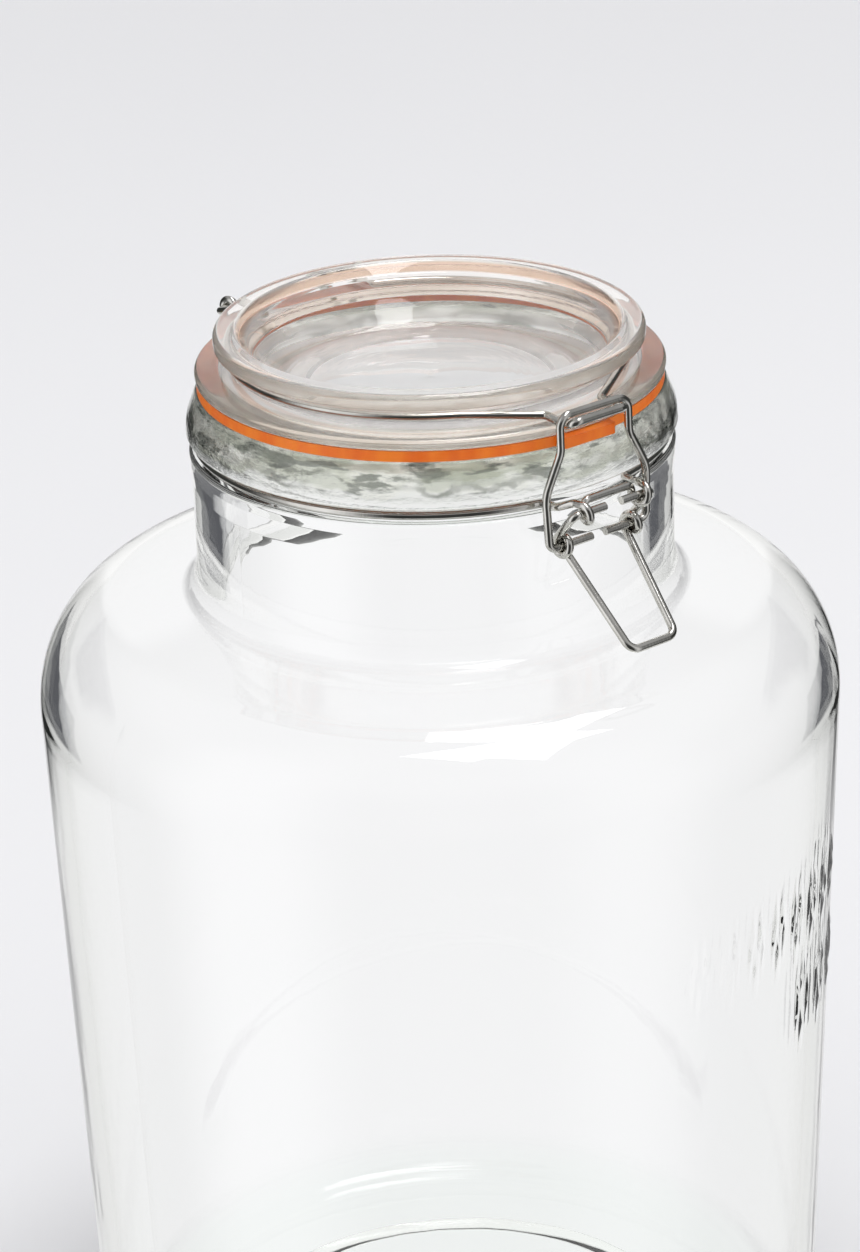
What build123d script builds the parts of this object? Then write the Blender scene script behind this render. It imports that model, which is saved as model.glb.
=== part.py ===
from build123d import *
import math
import os

# Clip-top glass canister, millimetres. +Z is up, the origin is the centre of the base, and the latch faces -Y.
# The jar, the lid and the seal are turned shapes; every metal piece is one bent round wire.

# Glass jar
BODY_R = 110.0            # widest radius, at the foot of the shoulder
BODY_Z = 226.0
HEEL_R = 104.0            # radius where the wall meets the rounded heel
HEEL_FILLET = 15.0
WALL = 5.0
FLOOR = 8.0
REST_R_IN, REST_R_OUT = 72.0, 84.0     # flat bearing ring under the base
PUNT = 3.0                # height of the dished underside above the bearing ring
SHOULDER_RISE = 29.0      # half height of the shoulder's elliptical round
SHOULDER_RUN = 24.0
NECK_R = 64.3
NECK_FOOT_Z = 259.0
MOUTH_R = 57.5            # bore of the neck
RIM_Z = 314.2
RIM_R = 62.6
COLLAR_R = 66.0
COLLAR_BOTTOM_Z = 302.0
GROOVE_R = 62.0           # wire groove between the collar and the lower bead
GROOVE_BOTTOM_Z = 298.2
BEAD_R = 65.3
BEAD_FADE_Z = 289.5

# Wires
WIRE_R = 1.1
PIN_GAP = 0.09            # radial running gap of a pin in a coil eye
COIL_R = 2.0 * WIRE_R + PIN_GAP        # coil eye, axis to wire centre
NECK_WIRE_R = 63.25
NECK_WIRE_Z = 300.1
LID_WIRE_R = 53.6
LID_WIRE_Z = 323.2

# Glass lid
LID_TOP_Z = 330.0
DISC_R = 57.5
DISC_Z = 325.6            # underside of the top disc
LID_GROOVE_R = 52.3
LID_GROOVE_Z = 321.4          # top of the flange beside the groove
FLANGE_R = 62.8
FLANGE_TOP_Z = 319.9
FLANGE_Z = 317.1          # underside of the flange, on the seal
PLUG_R = 55.6
PLUG_Z = 307.0
DISH_R = 48.0
DISH_FLOOR_R = 38.0
DISH_FLOOR_Z = 314.5
UNDER_R = 49.0
UNDER_Z = 309.0

# Rubber seal
SEAL_R_IN, SEAL_R_OUT = 55.9, 62.4     # snug round the plug
SEAL_Z = 314.3
TAB_HALF = 9.0
TAB_R = 65.2

# Pivots: (distance in front of the jar's axis, height)
LEVER_PIVOT = (73.5, 299.7)
BAIL_PIVOT = (67.6, 289.6)
BAIL_TOP = (66.4, 324.0)
HINGE = (-68.5, 320.4)
HANDLE = (88.6, 266.0)


def unit(v):
    return v * (1.0 / v.length)


def wire_edges(stops):
    """Straight runs and tangent arcs through (point, bend radius) stops; the first and last have no bend."""
    points = [Vector(*p) for p, _ in stops]
    edges, here = [], points[0]
    for i in range(1, len(points) - 1):
        corner, bend = points[i], stops[i][1]
        before, after = unit(corner - points[i - 1]), unit(points[i + 1] - corner)
        half = math.acos(max(-1.0, min(1.0, before.dot(after)))) / 2
        reach = bend * math.tan(half)
        start, end = corner - before * reach, corner + after * reach
        inward = unit(after - before)
        middle = corner + inward * (bend / math.cos(half) - bend)
        if (start - here).length > 1e-4:
            edges.append(Edge.make_line(here, start))
        edges.append(Edge.make_three_point_arc(start, middle, end))
        here = end
    edges.append(Edge.make_line(here, points[-1]))
    return edges


def round_wire(edges):
    """A round bar swept along edges that meet tangentially."""
    path = Wire(edges)
    start = Plane(origin=path @ 0, z_dir=path % 0)
    return sweep(start * Circle(WIRE_R), path=path)


def ring_arc(radius, height, start_deg, end_deg):
    """Arc of the +X half of a ring; 0 deg faces the latch and 180 deg the hinge."""
    angles = [math.radians(a) for a in (start_deg, (start_deg + end_deg) / 2, end_deg)]
    return Edge.make_three_point_arc(
        *[Vector(radius * math.sin(a), -radius * math.cos(a), height) for a in angles]
    )


def ring_point(radius, height, deg, ahead=0.0):
    """Point on the ring, or that far ahead of it along the tangent towards the hinge."""
    a = math.radians(deg)
    return (
        radius * math.sin(a) + ahead * math.cos(a),
        -radius * math.cos(a) + ahead * math.sin(a),
        height,
    )


def coil(centre, start_deg, turn_deg, corners, x_from, x_to):
    """Corners of a coil eye about an X axis. Angles are of the travel direction, 0 outwards and 90 up."""
    step = turn_deg / corners
    reach = COIL_R / math.cos(math.radians(step / 2))
    side = 90 if turn_deg < 0 else -90
    stops = []
    for k in range(corners):
        a = math.radians(start_deg + (k + 0.5) * step + side)
        x = x_from + (x_to - x_from) * (k + 0.5) / corners
        out, z = centre[0] + reach * math.cos(a), centre[1] + reach * math.sin(a)
        stops.append(((x, -out, z), COIL_R * 0.97))
    return stops


def both_sides(half):
    """A wire piece from its +X half, whose cut face lies on X = 0."""
    return half + mirror(half, about=Plane.YZ)


# ------------------------------------------------------------------ turned pieces
def shoulder_round(inset):
    """The shoulder's elliptical round, from the widest ring up to the nearly flat top of the shoulder."""
    centre = (BODY_R - SHOULDER_RUN, BODY_Z)
    return EllipticalCenterArc(centre, SHOULDER_RUN - inset, SHOULDER_RISE - inset, 0, arc_size=79)


def glass_jar():
    with BuildSketch(Plane.XZ) as outside:
        with BuildLine():
            Polyline((REST_R_OUT, 0), (HEEL_R, 0), (BODY_R, BODY_Z))
            up = shoulder_round(0)
            Polyline(
                up @ 1, (NECK_R + 0.6, NECK_FOOT_Z), (NECK_R, BEAD_FADE_Z),
                (BEAD_R, GROOVE_BOTTOM_Z - 3.2), (BEAD_R, GROOVE_BOTTOM_Z),
                (GROOVE_R, GROOVE_BOTTOM_Z), (GROOVE_R, COLLAR_BOTTOM_Z), (COLLAR_R, COLLAR_BOTTOM_Z),
                (COLLAR_R - 0.4, 306.5), (RIM_R, RIM_Z), (0, RIM_Z), (0, PUNT),
                (REST_R_IN - 8, PUNT), (REST_R_IN, 0), (REST_R_OUT, 0),
            )
        make_face()
        corners = outside.vertices()

        def near(r, z):
            return corners.sort_by_distance((r, 0, z))[0]

        fillet(near(HEEL_R, 0), HEEL_FILLET)
        fillet(near(NECK_R + 0.6, NECK_FOOT_Z), 6.0)
        fillet(near(NECK_R, BEAD_FADE_Z), 5.0)
        fillet(near(BEAD_R, GROOVE_BOTTOM_Z - 3.2), 2.5)
        fillet([near(BEAD_R, GROOVE_BOTTOM_Z), near(COLLAR_R, COLLAR_BOTTOM_Z)], 1.2)
        fillet([near(GROOVE_R, GROOVE_BOTTOM_Z), near(GROOVE_R, COLLAR_BOTTOM_Z)], 1.0)
        fillet(near(COLLAR_R - 0.4, 306.5), 5.0)
        fillet(near(RIM_R, RIM_Z), 1.8)
        fillet(near(REST_R_IN - 8, PUNT), 4.0)
    with BuildSketch(Plane.XZ) as inside:
        with BuildLine():
            Polyline((0, FLOOR), (HEEL_R - WALL, FLOOR), (BODY_R - WALL, BODY_Z))
            up = shoulder_round(WALL)
            Polyline(up @ 1, (MOUTH_R + 0.6, NECK_FOOT_Z - WALL + 1), (MOUTH_R, RIM_Z), (0, RIM_Z), (0, FLOOR))
        make_face()
        corners = inside.vertices()
        fillet(corners.sort_by_distance((HEEL_R - WALL, 0, FLOOR))[0], HEEL_FILLET - WALL)
        fillet(corners.sort_by_distance((MOUTH_R + 0.6, 0, NECK_FOOT_Z - WALL + 1))[0], 9.0)
    return revolve(outside.sketch, axis=Axis.Z) - revolve(inside.sketch, axis=Axis.Z)


def glass_lid():
    with BuildSketch(Plane.XZ) as section:
        with BuildLine():
            Polyline(
                (0, UNDER_Z), (UNDER_R, UNDER_Z), (UNDER_R + 1.5, PLUG_Z), (PLUG_R - 0.5, PLUG_Z),
                (PLUG_R, FLANGE_Z), (FLANGE_R, FLANGE_Z), (FLANGE_R, FLANGE_TOP_Z),
                (LID_GROOVE_R + 1.5, LID_GROOVE_Z), (LID_GROOVE_R, LID_GROOVE_Z + 0.8),
                (LID_GROOVE_R, DISC_Z), (DISC_R, DISC_Z), (DISC_R, LID_TOP_Z), (DISH_R + 3.5, LID_TOP_Z),
                (DISH_R, LID_TOP_Z - 3.0), (DISH_FLOOR_R, DISH_FLOOR_Z), (0, DISH_FLOOR_Z), (0, UNDER_Z),
            )
        make_face()
        corners = section.vertices()

        def near(r, z):
            return corners.sort_by_distance((r, 0, z))[0]

        fillet([near(FLANGE_R, FLANGE_Z), near(FLANGE_R, FLANGE_TOP_Z)], 1.0)
        fillet(near(DISC_R, DISC_Z), 1.2)
        fillet(near(DISC_R, LID_TOP_Z), 1.8)
        fillet(near(PLUG_R - 0.5, PLUG_Z), 1.5)
        fillet([near(DISH_R + 3.5, LID_TOP_Z), near(DISH_R, LID_TOP_Z - 3.0)], 2.0)
        fillet(near(DISH_FLOOR_R, DISH_FLOOR_Z), 6.0)
    return revolve(section.sketch, axis=Axis.Z)


def rubber_seal():
    height = FLANGE_Z - SEAL_Z
    base = Plane.XY.offset(SEAL_Z)
    ring = Circle(SEAL_R_OUT) - Circle(SEAL_R_IN)
    reach = TAB_R - SEAL_R_IN - 2
    tab = Pos(0, -(TAB_R - reach / 2)) * RectangleRounded(2 * TAB_HALF, reach, 1.5)
    return extrude(base * (ring + tab), height)


# ------------------------------------------------------------------ bent wires
def neck_wire():
    front, back = 15.0, 163.5
    eye = coil(LEVER_PIVOT, 0, -270, 3, 10.5, 8.2)
    lead_in = [
        (ring_point(NECK_WIRE_R, NECK_WIRE_Z, front), 0),
        (ring_point(NECK_WIRE_R, NECK_WIRE_Z, front, -2.9), 2.2),
        ((13.2, -66.8, 300.3), 3.0),
        ((10.8, -70.9, LEVER_PIVOT[1] + COIL_R), 2.0),
    ]
    inner_z = LEVER_PIVOT[1] + COIL_R
    bridge = [
        ((7.9, -(LEVER_PIVOT[0] - COIL_R), inner_z), 1.8),
        ((0, -(LEVER_PIVOT[0] - COIL_R), inner_z), 0),
    ]
    front_run = wire_edges(lead_in + eye + bridge)
    hinge_eye = coil(HINGE, 90, -345, 4, 16.9, 14.4)
    lift = [
        (ring_point(NECK_WIRE_R, NECK_WIRE_Z, back), 0),
        (ring_point(NECK_WIRE_R, NECK_WIRE_Z, back, 0.8), 0.6),
        ((17.2, 68.0, 300.4), 2.2),
        ((17.0, -(HINGE[0] - COIL_R), 309.0), 6.0),
    ]
    last = hinge_eye[-1][0]
    tail = [((last[0] - 0.2, last[1] + 1.0, last[2] + 4.0), 0)]
    back_run = wire_edges(lift + hinge_eye + tail)
    ring = ring_arc(NECK_WIRE_R, NECK_WIRE_Z, front, back)
    return both_sides(round_wire(list(reversed(front_run)) + [ring] + back_run))


def lid_wire():
    knee = (9.2, -58.5, 321.9)
    away = math.hypot(knee[0], knee[1])
    front = math.degrees(math.atan2(knee[0], -knee[1]) + math.acos(LID_WIRE_R / away))
    back = 158.0
    tab = [
        ((0, -69.0, 322.5), 0),
        ((8.6, -69.0, 322.5), 2.0),
        ((8.6, -66.6, 321.1), 1.6),
        (knee, 1.6),
        (ring_point(LID_WIRE_R, LID_WIRE_Z, front, -3.0), 20.0),
        (ring_point(LID_WIRE_R, LID_WIRE_Z, front), 0),
    ]
    hook = [
        (ring_point(LID_WIRE_R, LID_WIRE_Z, back), 0),
        (ring_point(LID_WIRE_R, LID_WIRE_Z, back, 0.7), 0.9),
        ((20.3, 61.5, 322.3), 4.0),
        ((20.3, -HINGE[0], HINGE[1]), 2.2),
        ((11.0, -HINGE[0], HINGE[1]), 0),
    ]
    ring = ring_arc(LID_WIRE_R, LID_WIRE_Z, front, back)
    return both_sides(round_wire(wire_edges(tab) + [ring] + wire_edges(hook)))


def bail_link():
    def out(z):
        share = (z - BAIL_PIVOT[1]) / (BAIL_TOP[1] - BAIL_PIVOT[1])
        return -(BAIL_PIVOT[0] + (BAIL_TOP[0] - BAIL_PIVOT[0]) * share)

    stops = [
        ((0, out(BAIL_TOP[1]), BAIL_TOP[1]), 0),
        ((11.4, out(BAIL_TOP[1]), BAIL_TOP[1]), 3.2),
        ((11.4, out(314.5), 314.5), 6.0),
        ((16.9, out(304.0), 304.0), 9.0),
        ((16.3, out(BAIL_PIVOT[1]), BAIL_PIVOT[1]), 2.2),
        ((2.3, out(BAIL_PIVOT[1]), BAIL_PIVOT[1]), 0),
    ]
    return both_sides(round_wire(wire_edges(stops)))


def tangent_deg(from_point, to_point, side):
    """Travel direction of the line that touches the coil at one end and meets the point at the other."""
    out, up = to_point[0] - from_point[0], to_point[1] - from_point[1]
    return math.degrees(math.atan2(up, out) + side * math.asin(COIL_R / math.hypot(out, up)))


def lever():
    start = tangent_deg(HANDLE, BAIL_PIVOT, 1)
    turn = tangent_deg(BAIL_PIVOT, LEVER_PIVOT, -1) - start - 360
    eye = coil(BAIL_PIVOT, start, turn, 5, 10.3, 13.1)
    stops = (
        [((0, -HANDLE[0], HANDLE[1]), 0), ((7.6, -HANDLE[0], HANDLE[1]), 3.0)]
        + eye
        + [((13.2, -LEVER_PIVOT[0], LEVER_PIVOT[1]), 1.8), ((2.7, -LEVER_PIVOT[0], LEVER_PIVOT[1]), 0)]
    )
    return both_sides(round_wire(wire_edges(stops)))


os.makedirs("parts", exist_ok=True)
PIECES = {
    "glass_jar": glass_jar,
    "neck_wire": neck_wire,
    "glass_lid": glass_lid,
    "lid_wire": lid_wire,
    "rubber_seal": rubber_seal,
    "bail_link": bail_link,
    "lever": lever,
}
for name, make in PIECES.items():
    piece = make()
    solids = piece.solids()
    assert len(solids) == 1, (name, len(solids))
    solid = solids[0]
    solid.label = name
    box = solid.bounding_box()
    print(name, round(solid.volume), [round(v, 2) for v in (*box.min, *box.max)], solid.is_valid)
    export_step(solid, f"parts/{name}.step")
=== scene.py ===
import math

import bpy
import numpy as np
from mathutils import Matrix, Quaternion, Vector


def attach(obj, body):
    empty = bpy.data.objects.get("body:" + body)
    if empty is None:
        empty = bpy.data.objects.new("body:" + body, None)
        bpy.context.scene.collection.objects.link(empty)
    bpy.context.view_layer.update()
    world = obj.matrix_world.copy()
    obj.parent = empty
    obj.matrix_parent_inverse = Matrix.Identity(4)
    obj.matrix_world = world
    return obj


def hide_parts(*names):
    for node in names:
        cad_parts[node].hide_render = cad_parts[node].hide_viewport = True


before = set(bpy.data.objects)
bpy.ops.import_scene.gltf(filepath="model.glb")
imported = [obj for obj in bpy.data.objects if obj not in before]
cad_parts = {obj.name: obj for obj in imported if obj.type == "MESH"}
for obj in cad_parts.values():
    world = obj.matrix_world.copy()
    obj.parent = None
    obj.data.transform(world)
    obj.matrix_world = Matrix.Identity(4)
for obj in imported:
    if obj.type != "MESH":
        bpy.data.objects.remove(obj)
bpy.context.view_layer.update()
MM = 0.001


# ---------------------------------------------------------------- sections and turned meshes
def rounded(stops, step=9.0):
    """Points along (radius, height, fillet) stops, in mm; fillets become arcs of short chords."""
    out = [Vector(stops[0][:2])]
    for i in range(1, len(stops) - 1):
        p = Vector(stops[i][:2])
        fillet = stops[i][2]
        a = (p - Vector(stops[i - 1][:2])).normalized()
        b = (Vector(stops[i + 1][:2]) - p).normalized()
        turn = a.angle(b, 0.0)
        if fillet <= 0 or turn < 0.02:
            out.append(p)
            continue
        reach = fillet * math.tan(turn / 2)
        centre = p + (b - a).normalized() * (fillet / math.cos(turn / 2))
        start, count = p - a * reach - centre, max(3, math.ceil(math.degrees(turn) / step))
        sign = 1.0 if a.x * b.y - a.y * b.x > 0 else -1.0
        for k in range(count + 1):
            t = sign * turn * k / count
            cos, sin = math.cos(t), math.sin(t)
            out.append(centre + Vector((start.x * cos - start.y * sin, start.x * sin + start.y * cos)))
    out.append(Vector(stops[-1][:2]))
    return [(p.x, p.y) for p in out]


def divided(points, longest):
    """The same line with no run longer than longest(radius, height), in mm."""
    out = [points[0]]
    for p, q in zip(points, points[1:]):
        length = math.hypot(q[0] - p[0], q[1] - p[1])
        if length < 1e-6:
            continue
        n = max(1, math.ceil(length / longest((p[0] + q[0]) / 2, (p[1] + q[1]) / 2)))
        out += [(p[0] + (q[0] - p[0]) * k / n, p[1] + (q[1] - p[1]) * k / n) for k in range(1, n + 1)]
    return out


def turned_mesh(name, section, angles, shift):
    """A closed mesh from a section in mm that starts and ends on the axis, turned through the angles in degrees.
    shift(r, z, angle, row) gives each point's (outward, upward) offsets in mm."""
    rows = np.array(section[1:-1])
    r, z = rows[:, :1], rows[:, 1:]
    a = np.radians(np.array(angles))[None, :]
    index = np.arange(len(rows))[:, None] + 0 * a
    out, up = shift(r + 0 * a, z + 0 * a, a + 0 * r, index)
    x, y = (r + out) * np.sin(a), -(r + out) * np.cos(a)
    co = np.stack([x, y, z + up], -1).reshape(-1, 3)
    m, n = index.shape
    ends = np.array([[0, 0, section[0][1]], [0, 0, section[-1][1]]])
    co = np.concatenate([co, ends]) * MM
    faces = []
    for j in range(n):
        k = (j + 1) % n
        faces.append((m * n, k, j))
        faces.append((m * n + 1, (m - 1) * n + j, (m - 1) * n + k))
        for i in range(m - 1):
            faces.append((i * n + j, i * n + k, (i + 1) * n + k, (i + 1) * n + j))
    mesh = bpy.data.meshes.new(name)
    mesh.from_pydata(co.tolist(), [], faces)
    mesh.shade_smooth()
    mesh.update()
    piece = bpy.data.objects.new(name, mesh)
    bpy.context.collection.objects.link(piece)
    return piece


def smooth(t):
    """0 below 0, 1 above 1, and a smooth step between."""
    t = np.clip(t, 0.0, 1.0)
    return t * t * (3 - 2 * t)


def ripple(angle, height, seed, wave):
    """A slow seeded unevenness between about -1 and 1, of that wavelength in mm; it closes round the jar."""
    rng = np.random.default_rng(seed)
    total = 0.0
    for _ in range(7):
        turns = max(1, round(rng.uniform(0.4, 1.3) * 600 / wave))
        climb = rng.uniform(-1.4, 1.4) * 2 * math.pi / wave
        total = total + np.sin(turns * angle + climb * height + rng.uniform(0, 6.3))
    return total / 3.5


def swell(x, y, seed, wave):
    """The same kind of unevenness over a flat floor."""
    rng = np.random.default_rng(seed)
    total = 0.0
    for _ in range(6):
        heading, k = rng.uniform(0, 6.3), 2 * math.pi / (wave * rng.uniform(0.7, 1.6))
        total = total + np.sin(k * (x * math.cos(heading) + y * math.sin(heading)) + rng.uniform(0, 6.3))
    return total / 3.0


# ---------------------------------------------------------------- glass jar
RELIEF_Z = (132.0, 192.0)
RELIEF_ROWS = (  # height; half width, half height, first place, pitch and count of the lozenges
    (178.0, 3.2, 7.0, -2.0, 10.6, 8),
    (150.0, 5.0, 8.5, 46.0, 15.0, 3),
)
RELIEF_HEIGHT, RELIEF_LINE = 0.5, 0.65
ARC_PER_DEGREE = 1.89
RIDGE_Z = 291.0


def jar_section():
    def quarter(across, up, start, end, count):
        return [
            (86 + across * math.cos(t), 226 + up * math.sin(t), 0)
            for t in np.radians(np.linspace(start, end, count))
        ]

    shoulder, inner_shoulder = quarter(24, 29, 0, 79, 22), quarter(19, 24, 79, 0, 18)
    outside = [(0, 3.2, 0), (64, 3, 4), (72, 0, 0.8), (84, 0, 6), (104, 0, 15)]
    neck = [
        (64.9, 259, 6), (64.8, 289.5, 5), (65.3, 295, 2.5), (65.3, 298.2, 1.2), (62, 298.2, 1.0),
        (62, 302, 1.0), (66, 302, 1.2), (65.6, 306.5, 5), (62.6, 314.2, 1.8), (57.5, 314.2, 1.2),
    ]
    inside = [(58.1, 255, 9)] + inner_shoulder + [(99, 8, 10), (40, 8.6, 30), (0, 9.5, 0)]
    points = rounded(outside + shoulder + neck + inside)

    def longest(r, z):
        if RELIEF_Z[0] < z < RELIEF_Z[1] and r > 105.5:
            return 0.8
        if r > 63 and RIDGE_Z - 1 < z < RIDGE_Z + 1:
            return 0.35
        return 1.6 if z > 286 else 5.0

    return divided(points, longest)


def lozenge(x, z, half_x, half_z, line):
    """A raised outline of an upright lozenge, 1 on its crest."""
    d = (np.abs(x) / half_x + np.abs(z) / half_z - 1) * half_x * half_z / math.hypot(half_x, half_z)
    return smooth(1.35 - np.abs(d) / line)


def relief(angle, z):
    """Height in mm of the pattern moulded on the wall: two rows of upright lozenges to the right of the latch."""
    arc = np.degrees((angle + math.pi) % (2 * math.pi) - math.pi) * ARC_PER_DEGREE
    out = 0 * arc
    for height, half_x, half_z, first, pitch, count in RELIEF_ROWS:
        for k in range(count):
            out = np.maximum(out, lozenge(arc - first - k * pitch, z - height, half_x, half_z, RELIEF_LINE))
    return RELIEF_HEIGHT * out


def jar_angles():
    """Fine steps across the moulded pattern and the two mould seams, coarse ones elsewhere."""
    pattern = list(np.arange(-4, 44.01, 0.28))
    seams = [s + d for s in (90, 270) for d in (-0.5, -0.25, 0, 0.25, 0.5)]
    rest = [a for a in np.arange(46.4, 355, 2.4) if min(abs(a - 90), abs(a - 270)) > 1.4]
    return sorted(a % 360 for a in pattern + seams + rest)


def jar_shift(r, z, a, row):
    """Uneven walls, a wavier collar, a broken ridge round the neck, two seams, the pattern and an uneven floor."""
    top = int(np.argmax(np.where(r[:, 0] > 57.4, z[:, 0], 0)))
    inner = row > top + 4
    wall = (z > 20) & (z < 286)
    out = np.where(inner & wall, 0.14 * ripple(a, z, 3, 150), 0.0)
    out = out + np.where(~inner & wall, 0.02 * ripple(a, z, 5, 90), 0.0)
    collar = smooth((z - 300) / 4) * smooth((313 - z) / 2)
    out = out + np.where(inner, collar * (0.12 * ripple(a, z, 6, 17) + 0.05 * ripple(a, z, 7, 8)), 0.0)
    out = out + np.where(~inner & (z > 303) & (z < 312), 0.05 * ripple(a, z, 8, 12), 0.0)
    broken = smooth(1.6 * ripple(a, 0 * z, 9, 14))
    out = out + np.where(~inner & (z < 296), 0.02 * broken * smooth(1.2 - np.abs(z - RIDGE_Z) / 0.4), 0.0)
    seam = np.minimum(np.abs(a - math.pi / 2), np.abs(a - 1.5 * math.pi))
    out = out + np.where(~inner & wall & (r > 62), 0.03 * smooth(1 - np.degrees(seam) / 0.4), 0.0)
    show = ~inner & (z > RELIEF_Z[0]) & (z < RELIEF_Z[1]) & (r > 103)
    out = out + np.where(show, relief(a, z), 0.0)
    floor = swell(r * np.sin(a), r * np.cos(a), 10, 50)
    return out, np.where(inner & (z < 14) & (r < 95), 0.2 * floor * smooth((95 - r) / 10), 0.0)


# ---------------------------------------------------------------- glass lid
def lid_section():
    plug = [(0, 309.4, 0), (46, 309, 3), (50.5, 307, 1.2), (55.1, 307, 1.5), (55.6, 317.16, 0.4)]
    flange = [(62.8, 317.16, 1.0), (62.8, 319.9, 1.1)]
    groove = [(53.8, 321.4, 1.5), (52.3, 322.2, 0.8), (52.3, 325.6, 0.8)]
    rim = [(57.5, 325.6, 1.2), (57.5, 330.0, 1.8), (51.5, 330.0, 1.6), (48.6, 327.0, 2.0), (46.6, 321.4, 2.5)]
    dish = [(44.2, 319.0, 2.0), (39.0, 314.9, 5.0), (33.5, 314.2, 1.2)]
    floor = [(32.2, 313.8, 0.8), (18, 314.0, 20), (0, 314.6, 0)]
    points = rounded(plug + flange + groove + rim + dish + floor, 8.0)
    return divided(points, lambda r, z: 0.6 if r < 34 and z > 312 else 1.6)


def lid_shift(r, z, a, row):
    """Fine chill rings on the dish's floor, an uneven underside and slightly wavy sides."""
    x, y = r * np.sin(a), r * np.cos(a)
    dish = (row > row.max() * 0.5) & (z < 318)
    chill = np.sin(2 * math.pi * (r + 0.8 * np.sin(x / 7) + 0.6 * np.sin(y / 5)) / 1.9)
    band = smooth((r - 19) / 5) * smooth((33 - r) / 4) * smooth(0.4 + 0.9 * swell(x, y, 20, 30))
    up = np.where(dish, (0.02 * chill * band + 0.03 * swell(x, y, 21, 24)) * smooth((40 - r) / 4), 0.0)
    under = (z < 312) & (r < 46) & (row < row.max() * 0.3)
    up = up + np.where(under, 0.03 * swell(x, y, 22, 30) * smooth((46 - r) / 4), 0.0)
    side = np.where((r > 46) & (z > 323.5), 0.02 * ripple(a, z, 23, 40), 0.0)
    side = side + np.where((z > 308) & (z < 316.6) & (r > 54), 0.05 * ripple(a, z, 24, 30), 0.0)
    return side, up


# ---------------------------------------------------------------- node helpers
class Graph:
    """Short calls that add nodes to a tree; any value may be a number or another node's output."""

    def __init__(self, tree):
        self.nodes, self.links = tree.nodes, tree.links

    def put(self, socket, value):
        if isinstance(value, bpy.types.NodeSocket):
            self.links.new(value, socket)
        else:
            socket.default_value = value

    def math(self, operation, first, second=0.0):
        node = self.nodes.new("ShaderNodeMath")
        node.operation = operation
        self.put(node.inputs[0], first)
        self.put(node.inputs[1], second)
        return node.outputs[0]

    def add(self, first, second):
        return self.math("ADD", first, second)

    def times(self, first, second):
        return self.math("MULTIPLY", first, second)

    def larger(self, first, second):
        return self.math("MAXIMUM", first, second)

    def span(self, value, low, high, to_low=0.0, to_high=1.0):
        """Goes smoothly from to_low to to_high as the value goes from low to high."""
        node = self.nodes.new("ShaderNodeMapRange")
        node.interpolation_type = "SMOOTHSTEP"
        self.put(node.inputs["Value"], value)
        self.put(node.inputs["From Min"], low)
        self.put(node.inputs["From Max"], high)
        self.put(node.inputs["To Min"], to_low)
        self.put(node.inputs["To Max"], to_high)
        return node.outputs["Result"]

    def window(self, value, low, high, soft):
        """1 between low and high, with soft edges."""
        rise = self.span(value, low - soft, low + soft)
        fall = self.span(value, high - soft, high + soft, 1.0, 0.0)
        return self.times(rise, fall)

    def wander(self, coords, scale, detail, reach):
        """A noise between about -reach and reach, in metres, that moves a painted edge up and down."""
        return self.span(self.noise(coords, scale, detail), 0.3, 0.7, -reach, reach)

    def mix(self, factor, first, second):
        node = self.nodes.new("ShaderNodeMix")
        node.data_type = "RGBA"
        self.put(node.inputs["Factor"], factor)
        self.put(node.inputs["A"], first)
        self.put(node.inputs["B"], second)
        return node.outputs["Result"]

    def dot(self, vector, axis):
        node = self.nodes.new("ShaderNodeVectorMath")
        node.operation = "DOT_PRODUCT"
        self.put(node.inputs[0], vector)
        node.inputs[1].default_value = axis
        return node.outputs["Value"]

    def coords(self, kind="Object"):
        return self.nodes.new("ShaderNodeTexCoord").outputs[kind]

    def noise(self, coords, scale, detail=4.0, stretch=(1, 1, 1)):
        mapping = self.nodes.new("ShaderNodeMapping")
        mapping.inputs["Scale"].default_value = [scale * k for k in stretch]
        tex = self.nodes.new("ShaderNodeTexNoise")
        tex.inputs["Scale"].default_value = 1.0
        tex.inputs["Detail"].default_value = detail
        self.links.new(coords, mapping.inputs["Vector"])
        self.links.new(mapping.outputs["Vector"], tex.inputs["Vector"])
        return tex.outputs["Fac"]

    def bump(self, shader, height, depth):
        node = self.nodes.new("ShaderNodeBump")
        node.inputs["Distance"].default_value = depth
        self.put(node.inputs["Height"], height)
        self.links.new(node.outputs["Normal"], shader.inputs["Normal"])


# ---------------------------------------------------------------- materials
CLEAR = (1, 1, 1, 1)
GLASS_IOR = 1.5


def material(name):
    mat = bpy.data.materials.new(name)
    mat.use_nodes = True
    return mat, Graph(mat.node_tree), mat.node_tree.nodes["Principled BSDF"]


def clear_glass(name, tint, density):
    """Clear glass that takes a little colour over a long way through it."""
    mat, graph, shader = material(name)
    shader.inputs["Transmission Weight"].default_value = 1.0
    shader.inputs["IOR"].default_value = GLASS_IOR
    absorb = graph.nodes.new("ShaderNodeVolumeAbsorption")
    absorb.inputs["Color"].default_value = (*tint, 1)
    absorb.inputs["Density"].default_value = density
    graph.links.new(absorb.outputs["Volume"], graph.nodes["Material Output"].inputs["Volume"])
    return mat, graph, shader


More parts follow.
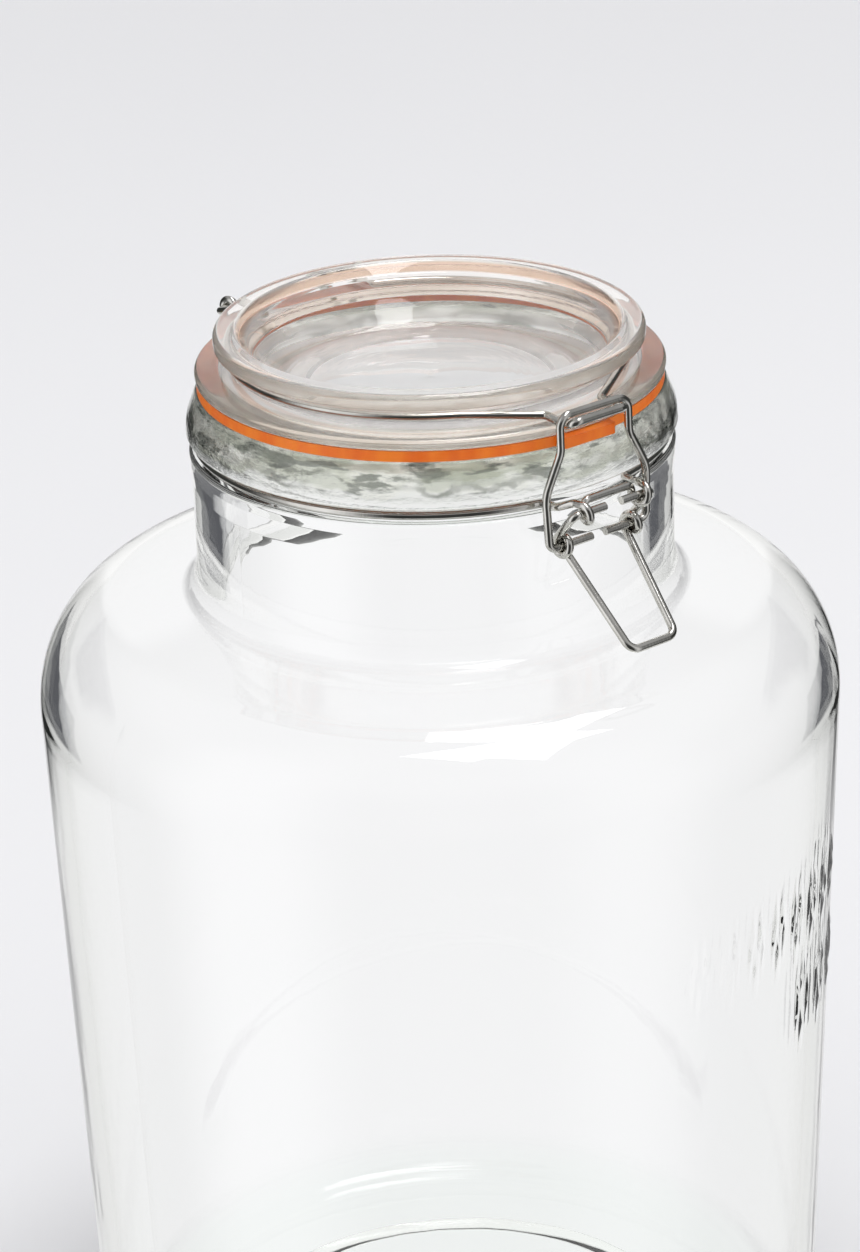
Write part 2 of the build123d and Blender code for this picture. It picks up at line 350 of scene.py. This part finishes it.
def jar_glass():
    """Clear wall; the thick collar is grey-green and mottled, with a torn dark line, and finely crinkled."""
    mat, graph, shader = clear_glass("jar_glass", (0.60, 0.68, 0.60), 1.2)
    coords = graph.coords()
    height = graph.dot(coords, (0, 0, 1))
    collar = graph.window(height, 0.3020, 0.3150, 0.0006)

    upper = graph.span(graph.add(height, graph.wander(coords, 90.0, 4.0, 0.0015)), 0.3055, 0.3070)
    grey = graph.span(graph.noise(coords, 52.0, 12.0, (1, 1, 3.0)), 0.42, 0.56)
    deep = graph.span(graph.noise(coords, 70.0, 14.0, (1, 1, 4.6)), 0.535, 0.60)
    cloud = graph.mix(grey, (0.86, 0.87, 0.80, 1), (0.50, 0.525, 0.43, 1))
    cloud = graph.mix(deep, cloud, (0.12, 0.13, 0.11, 1))
    cloud = graph.mix(upper, (0.90, 0.91, 0.88, 1), cloud)

    torn = graph.add(height, graph.wander(coords, 120.0, 8.0, 0.0016))
    streak = graph.span(graph.noise(coords, 24.0, 3.0), 0.47, 0.58)
    streak = graph.times(streak, graph.window(torn, 0.3063, 0.3078, 0.0006))
    cloud = graph.mix(streak, cloud, (0.15, 0.16, 0.135, 1))

    foot = graph.span(height, 0.004, 0.022, 1.0, 0.0)
    wall = graph.mix(foot, CLEAR, (0.93, 0.96, 0.94, 1))
    graph.put(shader.inputs["Base Color"], graph.mix(collar, wall, cloud))

    crinkle = graph.noise(coords, 420.0, 5.0, (1, 1, 3.2))
    frost = graph.times(collar, graph.span(crinkle, 0.45, 0.7, 0.0, 0.09))
    graph.put(shader.inputs["Roughness"], graph.add(frost, 0.004))
    slow = graph.noise(coords, 26.0, 3.0, (1, 1, 0.35))
    rough = graph.times(collar, graph.add(crinkle, graph.noise(coords, 150.0, 3.0, (1, 1, 2))))
    graph.bump(shader, graph.add(slow, graph.times(rough, 1.6)), 0.00010)
    return mat


def lid_glass():
    """Clear glass with a hazy underside. The rim and flange carry painted light: streaks of beige where light runs
    round in them.
    Two rings at the foot of the dish carry a painted reflection of the seal's orange."""
    mat, graph, shader = clear_glass("lid_glass", (0.66, 0.66, 0.60), 1.3)
    coords = graph.coords()
    x, y, height = (graph.dot(coords, axis) for axis in ((1, 0, 0), (0, 1, 0), (0, 0, 1)))
    radius = graph.math("SQRT", graph.add(graph.times(x, x), graph.times(y, y)))

    # Painted light: beige streaks on the rim and flange stand in for light that runs round inside the glass.
    rim = graph.span(radius, 0.0560, 0.0572)
    streak = graph.noise(coords, 30.0, 4.0, (1, 1, 9))
    beige = graph.mix(graph.span(streak, 0.35, 0.65), (0.60, 0.54, 0.45, 1), (0.82, 0.78, 0.70, 1))
    # Painted reflection of the orange seal: two rings at the foot of the dish, plus a faint warm tint from about 32
    # mm outward.
    painted_seal_reflection = graph.mix(graph.window(radius, 0.0491, 0.0511, 0.0003), (1, 0.975, 0.96, 1), (0.96, 0.62, 0.46, 1))
    painted_seal_reflection = graph.mix(graph.window(radius, 0.0467, 0.0479, 0.0005), painted_seal_reflection, (0.97, 0.81, 0.73, 1))
    painted_seal_reflection = graph.mix(graph.span(radius, 0.032, 0.048), CLEAR, painted_seal_reflection)
    graph.put(shader.inputs["Base Color"], graph.mix(rim, painted_seal_reflection, beige))

    film = graph.span(graph.noise(coords, 300.0, 5.0), 0.5, 0.75, 0.002, 0.03)
    under = graph.larger(graph.span(height, 0.3126, 0.3132, 1.0, 0.0), graph.times(rim, 0.12))
    graph.put(shader.inputs["Roughness"], graph.add(film, graph.times(under, 0.36)))
    shader.inputs["Transmission Weight"].default_value = 0.93
    graph.bump(shader, graph.noise(coords, 40.0, 3.0, (1, 1, 0.4)), 0.00005)
    return mat


def rubber():
    mat, graph, shader = material("orange_rubber")
    coords = graph.coords()
    cloud = graph.noise(coords, 160.0, 5.0, (1, 1, 0.3))
    colour = graph.mix(graph.span(cloud, 0.3, 0.7), (0.86, 0.15, 0.004, 1), (0.98, 0.24, 0.010, 1))
    graph.put(shader.inputs["Base Color"], colour)
    graph.put(shader.inputs["Roughness"], graph.span(graph.noise(coords, 500.0), 0.3, 0.7, 0.3, 0.5))
    shader.inputs["Subsurface Weight"].default_value = 0.15
    shader.inputs["Subsurface Scale"].default_value = 0.002
    shader.inputs["Subsurface Radius"].default_value = (1.0, 0.35, 0.1)
    graph.bump(shader, graph.noise(coords, 1500.0, 3.0), 0.00006)
    return mat


def steel():
    mat, graph, shader = material("bright_wire")
    coords = graph.coords()
    cloud = graph.noise(coords, 90.0, 5.0)
    colour = graph.mix(graph.span(cloud, 0.3, 0.7), (0.52, 0.51, 0.48, 1), (0.68, 0.67, 0.64, 1))
    graph.put(shader.inputs["Base Color"], colour)
    shader.inputs["Metallic"].default_value = 1.0
    graph.put(shader.inputs["Roughness"], graph.span(graph.noise(coords, 240.0, 6.0), 0.35, 0.7, 0.03, 0.12))
    graph.bump(shader, graph.noise(coords, 2200.0, 2.0, (1, 1, 0.2)), 0.00002)
    return mat


def pale_floor():
    mat, graph, shader = material("pale_floor")
    cloud = graph.noise(graph.coords(), 3.0)
    colour = graph.mix(cloud, (0.815, 0.815, 0.827, 1), (0.83, 0.83, 0.842, 1))
    graph.put(shader.inputs["Base Color"], colour)
    shader.inputs["Roughness"].default_value = 0.9
    shader.inputs["Specular IOR Level"].default_value = 0.1
    return mat


# ---------------------------------------------------------------- pieces
jar = turned_mesh("glass_jar_body", jar_section(), jar_angles(), jar_shift)
jar.data.materials.append(jar_glass())
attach(jar, "jar")
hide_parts("glass_jar")

lid = turned_mesh("glass_lid_body", lid_section(), np.arange(0, 360, 1.5), lid_shift)
lid.data.materials.append(lid_glass())
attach(lid, "lid")
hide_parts("glass_lid")

WIRE, RUBBER = steel(), rubber()
FINISHES = {"neck_wire": WIRE, "lid_wire": WIRE, "bail_link": WIRE, "lever": WIRE, "rubber_seal": RUBBER}
for node, finish in FINISHES.items():
    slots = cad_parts[node].data.materials
    slots.clear()
    slots.append(finish)


# ---------------------------------------------------------------- floor, light and camera
FLOOR_RADIUS = 9.0
CAMERA_AZIMUTH, CAMERA_ELEVATION, CAMERA_ROLL, CAMERA_DISTANCE = -38.0, 23.37, -1.83, 1.0
CAMERA_AIM_RIGHT, CAMERA_AIM_HEIGHT = -0.0015, 0.2533
CAMERA_LENS, CAMERA_SHIFT = 105.2, (-0.0012, -0.0315)
WINDOW_BRIGHTNESS = 6.0
LONG_PATH, SHORT_PATH = 52, 8


def floor_disc():
    mesh = bpy.data.meshes.new("floor")
    angles = np.radians(np.arange(0, 360, 3))
    ring = [(FLOOR_RADIUS * math.cos(t), FLOOR_RADIUS * math.sin(t), 0) for t in angles]
    mesh.from_pydata(ring, [], [tuple(range(len(ring)))])
    disc = bpy.data.objects.new("floor", mesh)
    bpy.context.collection.objects.link(disc)
    disc.data.materials.append(pale_floor())
    disc.visible_transmission = disc.visible_glossy = False


def studio_world(view_back):
    """Pale to the eye. Rays bent through glass meet a pale backdrop with two light grey flags low at its sides; rays
    mirrored inside glass meet a pale room with the same flags, dark. Rays mirrored on the outside of a piece meet a
    dim room with soft boxes and a window in two panes."""
    world = bpy.data.worlds.new("studio")
    bpy.context.scene.world = world
    world.use_nodes = True
    graph = Graph(world.node_tree)
    direction = graph.coords("Generated")
    away = Vector((-view_back.x, -view_back.y, 0)).normalized()
    side = Vector((-view_back.y, view_back.x, 0)).normalized()
    turn = graph.math("ARCTAN2", graph.dot(direction, side), graph.dot(direction, away))
    rise = graph.dot(direction, (0, 0, 1))

    def patch(turn_low, turn_high, rise_low, rise_high, turn_soft, rise_soft=None):
        """1 inside a patch of directions: turn is the angle round from behind the piece, rise the upward part."""
        across = graph.window(turn, turn_low, turn_high, turn_soft)
        return graph.times(across, graph.window(rise, rise_low, rise_high, rise_soft or turn_soft))

    def pane(*corners, soft=0.006):
        """1 inside a four-sided patch overhead; corners are (side, away) parts of the direction, anticlockwise."""
        inside = graph.span(rise, 0.1, 0.2)
        for (u, v), (p, q) in zip(corners, corners[1:] + corners[:1]):
            length = math.hypot(p - u, q - v)
            across = (side * (v - q) + away * (p - u)) / length
            edge = u * (v - q) / length + v * (p - u) / length
            inside = graph.times(inside, graph.span(graph.dot(direction, across), edge - soft, edge + soft))
        return inside

    flags = graph.larger(patch(-0.95, -0.335, -0.395, -0.14, 0.012), patch(0.47, 0.95, -0.395, -0.14, 0.012))
    fringe = graph.larger(patch(-0.95, -0.38, -0.455, -0.30, 0.02), patch(0.42, 0.95, -0.455, -0.30, 0.02))
    bent = graph.mix(fringe, (0.96, 0.96, 0.97, 1), (0.72, 0.73, 0.75, 1))
    bent = graph.mix(flags, bent, (0.66, 0.665, 0.68, 1))
    inner = graph.mix(graph.span(rise, -0.35, 0.05), (0.80, 0.805, 0.79, 1), (1.0, 1.0, 0.99, 1))
    inner = graph.mix(flags, inner, (0.11, 0.113, 0.125, 1))

    outer = (0.05, 0.052, 0.050, 1)
    for shape, level in (
        (graph.span(rise, 0.3, 0.7), 0.45),
        (patch(-0.30, 0.30, -0.9, 0.5, 0.04), 0.85),
        (patch(-1.3, 1.3, -0.99, -0.445, 0.4, 0.02), 0.8),
        (patch(-2.5, -1.75, -0.8, 0.8, 0.28), 1.2),
        (patch(1.9, 2.5, -0.8, 0.8, 0.28), 0.8),
        (pane((-0.04, 0.13), (0.33, -0.05), (0.31, 0.45), (0.0, 0.62)), WINDOW_BRIGHTNESS),
        (pane((0.04, -0.28), (0.37, -0.41), (0.39, -0.05), (0.15, 0.04)), WINDOW_BRIGHTNESS),
    ):
        outer = graph.mix(shape, outer, (level, level, level * 1.01, 1))

    path = graph.nodes.new("ShaderNodeLightPath").outputs
    mirrored, within, scattered = (
        graph.math("MINIMUM", path[f"{kind} Depth"], 1.0) for kind in ("Glossy", "Transmission", "Diffuse")
    )
    seen = graph.mix(mirrored, bent, graph.mix(within, outer, inner))
    seen = graph.mix(scattered, seen, (0.86, 0.86, 0.87, 1))
    seen = graph.mix(path["Is Camera Ray"], seen, (0.87, 0.87, 0.88, 1))
    back = graph.nodes["Background"]
    graph.put(back.inputs["Color"], seen)
    back.inputs["Strength"].default_value = 1.0


def softbox(name, place, aim, size, power, spin):
    """A rectangular lamp that lights the floor and pieces but is not mirrored in them."""
    data = bpy.data.lights.new(name, "AREA")
    data.shape = "RECTANGLE"
    data.size, data.size_y = size
    data.energy = power
    lamp = bpy.data.objects.new(name, data)
    lamp.location = place
    face = (Vector(aim) - Vector(place)).to_track_quat("-Z", "Y")
    lamp.rotation_euler = (face @ Quaternion((0, 0, 1), math.radians(spin))).to_euler()
    lamp.visible_glossy = False
    bpy.context.collection.objects.link(lamp)


def photo_camera():
    """Puts the camera at the photograph's viewing angle; gives the directions back to it and to its right."""
    a, e, t = (math.radians(v) for v in (CAMERA_AZIMUTH, CAMERA_ELEVATION, CAMERA_ROLL))
    back = Vector((math.sin(a) * math.cos(e), -math.cos(a) * math.cos(e), math.sin(e)))
    right = Vector((math.cos(a), math.sin(a), 0))
    up = back.cross(right)
    across = right * math.cos(t) + up * math.sin(t)
    upward = up * math.cos(t) - right * math.sin(t)
    data = bpy.data.cameras.new("camera")
    data.sensor_fit = "VERTICAL"
    data.sensor_height = 36.0
    data.lens = CAMERA_LENS
    data.shift_x, data.shift_y = CAMERA_SHIFT
    data.clip_start, data.clip_end = 0.01, 50
    camera = bpy.data.objects.new("camera", data)
    place = right * CAMERA_AIM_RIGHT + Vector((0, 0, CAMERA_AIM_HEIGHT)) + back * CAMERA_DISTANCE
    camera.matrix_world = Matrix.Translation(place) @ Matrix((across, upward, back)).transposed().to_4x4()
    bpy.context.collection.objects.link(camera)
    bpy.context.scene.camera = camera
    return back, right


floor_disc()
BACK, RIGHT = photo_camera()
studio_world(BACK)
LAMP_PLACE = tuple(RIGHT * 0.27 + Vector((0, 0, 1.9)))
softbox("top_window", LAMP_PLACE, (0, 0, 0.2), (1.0, 0.5), 9.5, CAMERA_AZIMUTH)

scene = bpy.context.scene
scene.view_settings.view_transform = "Standard"
scene.cycles.max_bounces = LONG_PATH
scene.cycles.transmission_bounces = LONG_PATH
scene.cycles.glossy_bounces = SHORT_PATH
